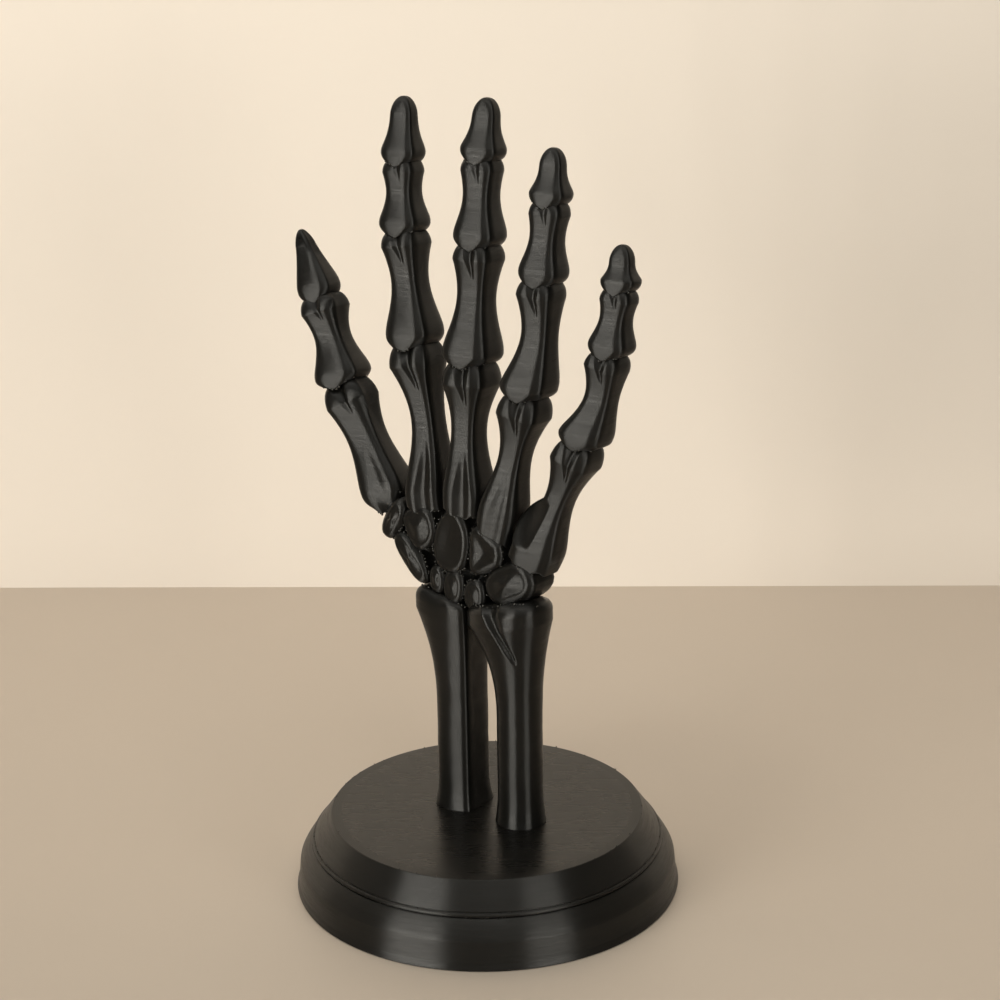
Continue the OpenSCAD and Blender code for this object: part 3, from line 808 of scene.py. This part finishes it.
# %% [markdown]
# ## The two forearm bones
#
# The radius and the ulna stand upright side by side. The radius is a squarish bar with a slightly arched front and
# a sharp edge on the side of the ulna. The ulna is nearly round. Both have a slightly flared foot and a head that
# opens like a trumpet under a sloping top, and a groove runs down from the top of the ulna. Their round pegs go
# down into the base, and they show when the hand is lifted out, so they belong to the shape too.

# %% tree of the forearm bones
ARM_STAGES = (0.04, 0.07, 0.14, 0.84, 0.95)     # where the peg's end, the peg, the step, the shaft and the rim end
SWELL_END, SWELL_POWER = 0.95, 2.3
FLARE_SHARE = 0.14            # how much of the shaft the flare of the foot takes
HOLLOW_LEAST, HOLLOW_MORE = 0.3 * MM, 2.3 * MM     # half width of the ulna's groove: at its end, and more at the top
HOLLOW_AT, HOLLOW_SHIFT = 0.58, 1.32     # where the groove ends across the shaft, and how far it wanders
HOLLOW_DIP = 0.7              # how much the groove dents the top
ARM_BUMPS = 150.0             # uneven places in a metre


def forearm_tree(material):
    tree = ShapeTree("forearm bone")
    foot, top, slope_x, slope_y = tree.asks(0.0, "Foot", "Top", "Slope across", "Slope through")
    shaft_x, shaft_y = tree.asks(0.0, "Shaft half width", "Shaft half depth")
    head_left, head_right, head_y = tree.asks(0.0, "Head to the left", "Head to the right", "Head half depth")
    start, rim_right, rim_left = tree.ask("Swell start", 0.5), tree.ask("Right rim", 1.0), tree.ask("Left rim", 1.0)
    section, edge, girth = tree.ask("Section", 4.0), tree.ask("Right edge", 6.0), tree.ask("Girth", 1.0)
    crown, spread, hollow = tree.asks(0.0, "Crown", "Foot spread", "Hollow depth")
    hollow_h, peg_r = tree.asks(1.0, "Hollow height", "Peg radius")
    peg_low, uneven, seed = tree.asks(0.0, "Peg end", "Uneven", "Seed")

    mesh, u, v = tree.grid(144, 150)
    c, s = tree.way_round(u)
    front = on_front(s)
    peg_in, peg_up, step_out, run, rounding, shut = v.stages(ARM_STAGES)
    rounding, roof_in = rounding * QUARTER, 1 - shut

    swell = run.ramp(start, SWELL_END) ** SWELL_POWER
    flare = (1 - run / FLARE_SHARE).most(0.0) ** 2 * spread
    on_left = c.below(0.0)
    half_x = (shaft_x + (head_right + (head_left - head_right) * on_left - shaft_x) * swell) * girth + flare
    half_y = (shaft_y + (head_y - shaft_y) * swell) * girth + flare
    rim = rim_right + (rim_left - rim_right) * (c * -1).ramp(-0.2, 0.6, True)
    power = section + front_corner(c, s) * (edge - section)
    skin = (squarish(c, s, half_x, half_y, power) - rim * (1 - rounding.cosine())) * roof_in
    ring = peg_r * peg_in
    out = ring + (skin - ring) * step_out
    x, y = out * c, out * s
    roof = top + slope_x * x + slope_y * y
    z = peg_low + (foot - peg_low) * peg_up + (roof - rim - foot) * run + rim * rounding.sine()

    climb = z.ramp(top - hollow_h, top)
    across = (x - shaft_x * girth * (HOLLOW_AT - HOLLOW_SHIFT * climb)) / (HOLLOW_LEAST + HOLLOW_MORE * climb)
    grooved = hollow * across.valley(0.03) * climb.ramp(0.0, 0.2)
    bumps = tree.noise(tree.vector(x, y, z), ARM_BUMPS, 1.0, seed) * uneven * step_out * roof_in
    bulge = crown * (x / half_x) * (x / half_x) * step_out
    y = y + (grooved + bulge) * front * roof_in + bumps * s
    z = z - grooved * front * roof_in * HOLLOW_DIP
    tree.close(tree.move(mesh, x + bumps * c, y, z), material)
    return tree


arm_tree = forearm_tree(bone_finish)
print("forearm bone tree:", len(arm_tree.nodes.nodes), "nodes")

# %% measure and grow the forearm bones
FOOT_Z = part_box("base_top")[1].z
FOOT_IN = 0.3 * MM      # how far a foot sinks into the deck, so that no gap shows
SHAFT_SHARE, HEAD_SHARE = 0.3, 0.7     # heights at which the shaft and the head are measured
BESIDE_PEG = 1.05       # how many radii of a peg clear it
ROOF_FACING = 0.6       # how much a face of the sloping top faces up


def peg_of(node):
    """Middle and radius of the peg under a forearm bone, and the height of its end."""
    points = solid_points(node)
    peg = points[points[:, 2] < FOOT_Z - FOOT_IN]
    middle, half = span(peg)
    return middle, half[0], peg[:, 2].min()


def roof_of(node, floor_z):
    """Slopes of the flat top of a forearm solid, across and through."""
    total = Vector((0, 0, 0))
    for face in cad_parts[node].data.polygons:
        if face.center.z > floor_z and face.normal.z > ROOF_FACING:
            total += face.normal * face.area
    return -total.x / total.z, -total.y / total.z


def forearm_bone(node, number, extras):
    points, edges = solid_points(node), solid_edges(node)
    peg_middle, peg_r, peg_end = peg_of(node)
    body = points[np.hypot(*(points[:, :2] - peg_middle).T) > BESIDE_PEG * peg_r]
    foot, top = body[:, 2].min(), points[:, 2].max()
    shaft_z, head_z = (foot + share * (top - foot) for share in (SHAFT_SHARE, HEAD_SHARE))
    low_mid, low = span(cut(points, edges, 2, shaft_z))
    head = points[points[:, 2] > head_z] - (*low_mid, 0)
    slope_x, slope_y = roof_of(node, head_z)
    roof_z = (head[:, 2] - slope_x * head[:, 0] - slope_y * head[:, 1]).max()
    sizes = {
        "Foot": foot - FOOT_IN, "Top": roof_z, "Slope across": slope_x, "Slope through": slope_y,
        "Shaft half width": low[0], "Shaft half depth": low[1], "Head to the left": -head[:, 0].min(),
        "Head to the right": head[:, 0].max(), "Head half depth": head[:, 1].max(),
        "Peg radius": peg_r, "Peg end": peg_end, "Uneven": 0.25 * MM, "Seed": 60 + number, **extras,
    }
    piece = grow("skin." + node, arm_tree, sizes)
    print(node, "foot and top in mm", [round(float(sizes[name]) / MM, 2) for name in ("Foot", "Top")])
    place = Matrix.Translation((*low_mid, 0))
    crumb_lines.append((front_edge(piece, place, True), False))
    return settle(piece, node, "hand", place)


radius_look = {"Section": 4.0, "Right edge": 9.0, "Crown": 1.05 * MM, "Right rim": 1.6 * MM, "Left rim": 3.4 * MM,
               "Foot spread": 0.8 * MM}
ulna_look = {"Section": 2.15, "Right edge": 2.15, "Girth": 1.13, "Right rim": 3.0 * MM, "Left rim": 2.0 * MM,
             "Foot spread": 0.7 * MM, "Hollow depth": 1.5 * MM, "Hollow height": 13.2 * MM}
faces = [forearm_bone("radius_bone", 0, radius_look), forearm_bone("ulna_bone", 1, ulna_look)]
print("forearm bones,", sum(faces), "faces")

# %% [markdown]
# ## The two tiers of the base
#
# Both tiers are turned shapes. The lower tier is a disc with an upright wall and a sloping shoulder, and a recess
# on top. The upper one stands in that recess on a spigot, behind a dark seam, with a thin bead, a sloping side and
# the flat deck. A tree that spins a measured profile makes both, and softens the corners as a nozzle does. The
# sockets of the forearm pegs are cut into the deck by the same tree, because they show when the hand is lifted out.

# %% tree of the turned tiers
DRILL = 40 * MM               # length of the drill that cuts a socket
SHARP_BEND = math.radians(50)     # edges that bend more than this stay sharp
CORNER_SHARE = 0.45           # the share of a run that a rounded corner may take


def turned_tree(wall, flat):
    tree = ShapeTree("turned tier")
    flat_z, socket_r, socket_z = tree.asks(1.0, "Flat height", "Socket radius", "Socket floor")
    places = [tree.asks(0.0, side + " socket x", side + " socket y") for side in ("Left", "Right")]
    mesh, u, v = tree.grid(288, 160)
    rung = v * (tree.along - 1)
    spot = tree.node("GeometryNodeSampleIndex", {"data_type": "FLOAT_VECTOR", "domain": "POINT"},
                     {"Geometry": tree.holder, "Value": tree.place(), "Index": rung.nearest()})
    r, _, z = spot.parts()
    turn = u * (2 * math.pi)
    mesh = tree.merge(tree.move(mesh, r * turn.cosine(), r * turn.sine(), z))
    for x, y in places:
        drill = tree.node("GeometryNodeMeshCylinder", {}, {"Vertices": 64, "Radius": socket_r, "Depth": DRILL})
        drill = tree.node("GeometryNodeTransform", {}, {
            "Geometry": drill, "Translation": tree.vector(x, y, socket_z + DRILL / 2)})
        mesh = tree.node("GeometryNodeMeshBoolean", {"operation": "DIFFERENCE", "solver": "EXACT"},
                         {"Mesh 1": mesh, "Mesh 2": drill})
    mesh = tree.smooth(tree.realize(mesh))
    bend = tree.node("GeometryNodeInputMeshEdgeAngle", {}, {})
    mesh = tree.node("GeometryNodeSetShadeSmooth", {"domain": "EDGE"}, {0: mesh, 1: bend.over(SHARP_BEND), 2: False})
    height = tree.place().parts()[2]
    tree.hand_out(tree.paint(tree.paint(mesh, wall), flat, Selection=height.over(flat_z)))
    return tree


def levels_of(node):
    """The radii of a turned solid at each of its heights, smallest first."""
    points = solid_points(node)
    pairs = np.unique(np.column_stack([np.hypot(points[:, 0], points[:, 1]), points[:, 2]]).round(5), axis=0)
    return [(z, sorted(pairs[pairs[:, 1] == z, 0])) for z in np.unique(pairs[:, 1])]


def soften(profile, radius, step=4 * MM):
    """Rounds the corners of a profile and fills its long runs with more points."""
    soft = [np.array(profile[0])]
    for before, corner, after in zip(profile, profile[1:], profile[2:]):
        before, corner, after = map(np.array, (before, corner, after))
        back, on = before - corner, after - corner
        reach = min(radius, CORNER_SHARE * np.linalg.norm(back), CORNER_SHARE * np.linalg.norm(on))
        p0 = corner + back / np.linalg.norm(back) * reach
        p2 = corner + on / np.linalg.norm(on) * reach
        soft += [(1 - t) ** 2 * p0 + 2 * t * (1 - t) * corner + t * t * p2 for t in np.linspace(0, 1, 6)]
    soft.append(np.array(profile[-1]))
    filled = [soft[0]]
    for before, after in zip(soft, soft[1:]):
        count = max(1, math.ceil(np.linalg.norm(after - before) / step))
        filled += [before + (after - before) * i / count for i in range(1, count + 1)]
    return filled


foot_levels, top_levels = levels_of("base_foot"), levels_of("base_top")
for tier_name, levels in (("lower tier", foot_levels), ("upper tier", top_levels)):
    print(tier_name, [(round(z / MM, 2), round(r[-1] / MM, 2)) for z, r in levels])

# %% measure the profiles and the sockets
SEAM = 0.16 * MM
CREASE, CREASE_LOW, CREASE_HIGH = 0.25 * MM, 0.05 * MM, 0.3 * MM     # how deep it is, and its heights above the bead
BEAD_BULGE = 0.15 * MM
SOCKET_PLAY, SOCKET_DEEPER = 0.08 * MM, 0.4 * MM     # room round a peg and under it
CLOSE = 0.01 * MM       # sizes nearer than this are the same
seat_z = foot_levels[-1][0]
recess_r = foot_levels[-1][1][0]
recess_z = next(z for z, radii in foot_levels if abs(radii[0] - recess_r) < CLOSE)
foot_profile = [(radii[-1], z) for z, radii in foot_levels if radii[-1] > recess_r + 1 * MM]
foot_profile = [(0.0, 0.0), *foot_profile, (recess_r, seat_z), (recess_r, recess_z), (0.0, recess_z)]

spigot_z, spigot_r = top_levels[0][0], top_levels[0][1][-1]
deck_z, deck_r = top_levels[-1][0], top_levels[-1][1][-1]
outer = [(z, radii) for z, radii in top_levels if z > seat_z - CLOSE]
seam_r = outer[0][1][-1]
bead_r, bead_top = outer[1][1][-1], outer[2][0]
slope_r = min(r for r in outer[2][1] if r > deck_r)
seam_z = seat_z + SEAM
bead_mid, bead_half = (seam_z + bead_top) / 2, (bead_top - seam_z) / 2
bead = [(bead_r - 2 * BEAD_BULGE + 3 * BEAD_BULGE * math.cos(a), bead_mid + bead_half * math.sin(a))
        for a in np.linspace(-QUARTER, QUARTER, 11)]
top_profile = [(0.0, spigot_z), (spigot_r, spigot_z), (spigot_r, seat_z), (seam_r, seat_z), (seam_r, seam_z), *bead,
               (slope_r - CREASE, bead_top + CREASE_LOW), (slope_r - CREASE_LOW, bead_top + CREASE_HIGH),
               (deck_r, deck_z), (0.0, deck_z)]

pegs = {"Left": peg_of("radius_bone"), "Right": peg_of("ulna_bone")}
_, peg_r, peg_end = pegs["Left"]
sockets = {"Socket radius": peg_r + SOCKET_PLAY, "Socket floor": peg_end - SOCKET_DEEPER}
for side, (middle, _, _) in pegs.items():
    sockets[side + " socket x"], sockets[side + " socket y"] = middle
print("seam at", round(float(seat_z) / MM, 2), "mm, sockets in mm",
      {name: round(float(value) / MM, 2) for name, value in sockets.items()})

# %% spin the tiers and cut the sockets
SOFT_CORNER = 0.2 * MM
FLAT_PLAY = 0.02 * MM         # faces that are this close to the deck's height belong to its flat top
deck_finish = passes_print("base deck print", (0.004, 0.0038, 0.0033), 0.28, deck_r - RING_BAND)
tier_tree = turned_tree(wall_finish, deck_finish)


def tier(node, profile, flat_z, sizes):
    line = [(r, 0.0, z) for r, z in soften(profile, SOFT_CORNER)]
    piece = grow("skin." + node, tier_tree, {"Flat height": flat_z, "Along": len(line), **sizes}, [(line, False)])
    return settle(piece, node, "base")


far_above = 1.0         # metres: no flat top, and a drill that touches nothing
no_sockets = {"Socket radius": 1 * MM, "Socket floor": far_above}
print("lower tier", tier("base_foot", foot_profile, far_above, no_sockets), "faces")
print("upper tier", tier("base_top", top_profile, deck_z - FLAT_PLAY, sockets), "faces")

# %% [markdown]
# ## Crumbs of the print
#
# Where a nozzle starts, stops or hops over a crevice, it leaves pips and short steps of plastic. On the real stand
# they sparkle between the wrist bones, along the lips of the finger bones, on top of the forearm and here and there
# round the base. A tree walks the lines that were collected above, keeps a random share of the steps and puts a
# tiny uneven grain of twenty faces on each, half sunk in the surface.

# %% finish and tree of the crumbs
GRAIN_FACES = 20
CREASE_UP = 0.1 * MM                     # where the crumbs of the crease lie above the bead
RIM_IN, RIM_DOWN = 0.12 * MM, 0.04 * MM     # how far the crumbs of the deck's rim are sunk


def melted_print(name, tint):
    """Black plastic that melted into a smooth bead, with lighter patches painted on as glints."""
    material, tree, spot = new_finish(name)
    painted_glint = tree.noise(spot, 1800.0, 2.0, 2.0)
    # painted highlight: random patches of each crumb are painted up to fourteen times lighter, as glints
    colour = tree.blend(painted_glint.ramp(-0.1, 0.4), tint, times(tint, 14))
    return close_finish(material, tree, tree.node("ShaderNodeBsdfPrincipled", {}, {
        "Base Color": colour, "Roughness": (0.2 + painted_glint * 0.2).most(0.1), "IOR": 1.52}))


def crumb_tree(material):
    tree = ShapeTree("crumbs")
    step, size, share = tree.ask("Step", 1.0), tree.ask("Grain radius", 1.0), tree.ask("Share", 0.5)
    seed = tree.ask("Seed", 1)

    def chance(low, high, shift):
        return tree.node("FunctionNodeRandomValue", {"data_type": "FLOAT_VECTOR"},
                         {0: (low,) * 3, 1: (high,) * 3, 8: seed + shift})

    line = tree.node("GeometryNodeMeshToCurve", {}, {"Mesh": tree.holder})
    spots = tree.node("GeometryNodeCurveToPoints", {"mode": "LENGTH"}, {"Curve": line, "Length": step})
    drift = tree.node("ShaderNodeVectorMath", {"operation": "SCALE"}, {0: chance(-1.0, 1.0, 0), "Scale": size})
    spots = tree.node("GeometryNodeSetPosition", {}, {"Geometry": spots, "Offset": drift})
    kept = tree.node("FunctionNodeRandomValue", {"data_type": "BOOLEAN"}, {6: share, 8: seed + 1}, 3)
    grain = tree.node("GeometryNodeMeshIcoSphere", {}, {"Radius": size, "Subdivisions": 1})
    grains = tree.node("GeometryNodeInstanceOnPoints", {}, {
        "Points": spots, "Selection": kept, "Instance": grain, "Scale": chance(0.5, 1.4, 2)})
    tree.hand_out(tree.paint(tree.smooth(tree.realize(grains)), material))
    return tree


def crumbs(name, body, lines, sizes):
    piece = grow(name, grain_tree, sizes, lines)
    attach(piece, body)
    return len(piece.data.polygons) // GRAIN_FACES


def ring_line(r, z, count=256):
    turns = np.linspace(0, 2 * math.pi, count, endpoint=False)
    return [(r * math.cos(a), r * math.sin(a), z) for a in turns], True


grain_tree = crumb_tree(melted_print("crumb print", (0.006, 0.0058, 0.005)))
base_lines = [ring_line(bead_r, seam_z), ring_line(slope_r, bead_top + CREASE_UP),
              ring_line(deck_r - RIM_IN, deck_z - RIM_DOWN)]
hand_crumbs = {"Step": 0.45 * MM, "Grain radius": 0.26 * MM, "Share": 0.4, "Seed": 4}
base_crumbs = {"Step": 0.6 * MM, "Grain radius": 0.15 * MM, "Share": 0.25, "Seed": 9}
print("crumbs on the hand", crumbs("crumbs.hand", "hand", crumb_lines, hand_crumbs))
print("crumbs on the base", crumbs("crumbs.base", "base", base_lines, base_crumbs))

# %% [markdown]
# ## The set
#
# The photograph has a warm pale wall close behind the stand and a slightly darker table. Two small low soft boxes
# stand left and right of the camera, with a dark gap between them: the base shows them as two upright bands of
# light. A strip above the stand washes the wall, and a wide box overhead lights the table. All have the same warm
# tint. The line where wall and table meet is read from the photograph and put on the floor along the view.

# %% wall and table
WALL_LINE = ((0, 587.7), (1000, 585.5))     # pixels
WALL_MORE_LEFT, WALL_MORE_RIGHT, WALL_HEIGHT = 0.6, 0.3, 1.8     # metres
TABLE_DEPTH, TABLE_SHORT = 2.6, 0.2     # metres; the table's right end is shorter than the wall
TABLE_TINT, WALL_TINT = (0.63, 0.545, 0.46), (0.79, 0.72, 0.645)


def on_floor(px, py):
    """The floor point that a pixel shows."""
    ray = view_ahead + view_right * ((px - PHOTO_SIDE / 2) / FOCAL) - view_up * ((py - PHOTO_SIDE / 2) / FOCAL)
    return camera_at + ray * (camera_at.z / -ray.z)


def paper(name, tint, gloss, one_sided=False):
    """Matt painted board with a faint mottle. A one-sided board is clear from behind, for a look at the back."""
    material, tree, spot = new_finish(name)
    mottle = tree.noise(spot, 30.0, 3.0, 1.0)
    colour = tree.blend(mottle.ramp(-0.4, 0.4), times(tint, 0.985), tint)
    shader = tree.node("ShaderNodeBsdfPrincipled", {}, {"Base Color": colour, "Roughness": gloss})
    if one_sided:
        behind = tree.node("ShaderNodeNewGeometry", {}, {}, "Backfacing")
        clear = tree.node("ShaderNodeBsdfTransparent", {}, {})
        shader = tree.node("ShaderNodeMixShader", {}, {0: behind, 1: shader, 2: clear})
    return close_finish(material, tree, shader)


def board(name, corners, material):
    mesh = bpy.data.meshes.new(name)
    mesh.from_pydata([tuple(p) for p in corners], [], [(0, 1, 2, 3)])
    mesh.materials.append(material)
    made = new_object(name, mesh)


wall_a, wall_b = (on_floor(*pixel) for pixel in WALL_LINE)
wall_way = (wall_b - wall_a).normalized()
to_camera = Vector((wall_way.y, -wall_way.x, 0))
wall_a, wall_b = wall_a - wall_way * WALL_MORE_LEFT, wall_b + wall_way * WALL_MORE_RIGHT
rise, nearer = Vector((0, 0, WALL_HEIGHT)), to_camera * TABLE_DEPTH
near_b = wall_b - wall_way * TABLE_SHORT
board("table", (wall_a, wall_a + nearer, near_b + nearer, near_b), paper("table board", TABLE_TINT, 0.5))
board("wall", (wall_a, wall_b, wall_b + rise, wall_a + rise), paper("wall board", WALL_TINT, 0.7, True))
print("wall stands", round(abs(wall_a.dot(to_camera)), 3), "m behind the middle of the base")

# %% soft boxes and the dim room
LAMP_TINT = (1.0, 0.965, 0.875)
ROOM_TINT, ROOM_LIGHT = (0.95, 0.9, 0.84, 1), 0.04
SEEN_TINT = (0.8, 0.72, 0.63, 1)     # what the camera sees past the boards
soft_boxes = {     # degrees round from the camera's side, then height, distance, width and tall in m, and brightness
    "soft box left": (-42.0, 0.15, 0.9, 0.5, 0.28, 15.0),
    "soft box right": (34.5, 0.15, 0.9, 0.38, 0.28, 8.6),
    "wall wash": (-50.0, 0.42, 0.14, 0.9, 0.2, 1.6),
    "soft box above": (0.0, 1.3, 0.12, 1.2, 1.2, 1.3),
}


def soft_box(name, azimuth, height, distance, width, tall, radiance):
    """An upright soft box that faces the stand."""
    light = bpy.data.lights.new(name, "AREA")
    light.shape = "RECTANGLE"
    light.size, light.size_y = width, tall
    light.color = LAMP_TINT
    light.energy = radiance * math.pi * width * tall
    lamp = new_object(name, light)
    way = turned @ Vector((math.sin(math.radians(azimuth)), -math.cos(math.radians(azimuth)), 0))
    spot = way * distance + Vector((0, 0, height))
    lamp.matrix_world = Matrix.Translation(spot) @ way.to_track_quat("Z", "Y").to_matrix().to_4x4()
    return lamp


lamps = {name: soft_box(name, *numbers) for name, numbers in soft_boxes.items()}
above = lamps["soft box above"]
above.matrix_world = Matrix.Translation(above.matrix_world.translation)     # turned to face straight down
room = bpy.data.worlds.new("room")
room_tree = bare_tree(room)
dim = room_tree.node("ShaderNodeBackground", {}, {"Color": ROOM_TINT, "Strength": ROOM_LIGHT})
pale = room_tree.node("ShaderNodeBackground", {}, {"Color": SEEN_TINT, "Strength": 1.0})
seen = room_tree.node("ShaderNodeLightPath", {}, {}, "Is Camera Ray")
room_light = room_tree.node("ShaderNodeMixShader", {}, {0: seen, 1: dim, 2: pale})
room_tree.node("ShaderNodeOutputWorld", {}, {"Surface": room_light})
bpy.context.scene.world = room
bpy.context.scene.view_settings.view_transform = "Standard"
print("lights:", list(lamps))
